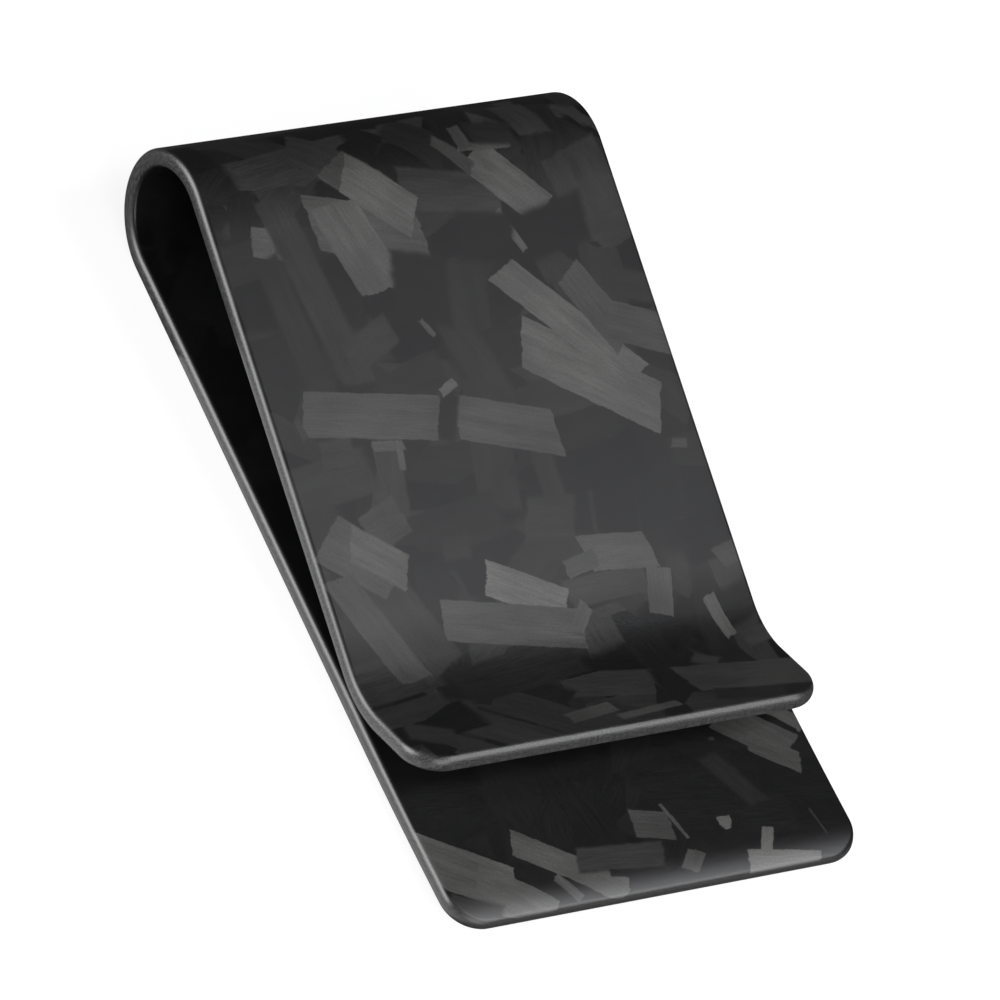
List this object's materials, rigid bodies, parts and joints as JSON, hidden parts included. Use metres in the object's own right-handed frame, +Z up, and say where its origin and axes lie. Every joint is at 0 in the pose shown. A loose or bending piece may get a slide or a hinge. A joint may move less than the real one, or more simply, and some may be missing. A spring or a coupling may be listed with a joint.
{
  "type": "money clip",
  "caption": "Spring money clip moulded from one strip of forged carbon fibre, with a rolled bow, a sprung front leaf and a flared thumb lip.",
  "frame": {"origin": "under the middle of the bounding box, on the face the clip rests on", "axes": "+X from the spring bow to the mouth, +Y across the strip, +Z up from the back leaf to the front leaf"},
  "size_m": [0.0686, 0.038, 0.0123],
  "materials": {
    "forged_carbon": "satin chopped carbon fibre in dark resin"
  },
  "bodies": {
    "back": {"back_leaf": "forged_carbon"},
    "bow": {"spring_bow": "forged_carbon"},
    "front": {"front_leaf": "forged_carbon", "grip_foot": "forged_carbon", "thumb_lip": "forged_carbon"}
  },
  "joints": [
    {"name": "bow_flex_lower", "type": "hinge", "parent": "back", "child": "bow", "pos_m": [-0.02815, 0, 0], "axis": [0, -1, 0], "range_deg": [0, 4.5], "stiffness_Nm_per_rad": 14, "springref_deg": -0.57},
    {"name": "bow_flex_upper", "type": "hinge", "parent": "bow", "child": "front", "pos_m": [-0.02677, 0, 0.01214], "axis": [0, -1, 0], "range_deg": [0, 4.5], "stiffness_Nm_per_rad": 14, "springref_deg": -0.57}
  ],
  "couplings": [
    {"joint": "bow_flex_upper", "follows": "bow_flex_lower", "ratio": 1}
  ]
}
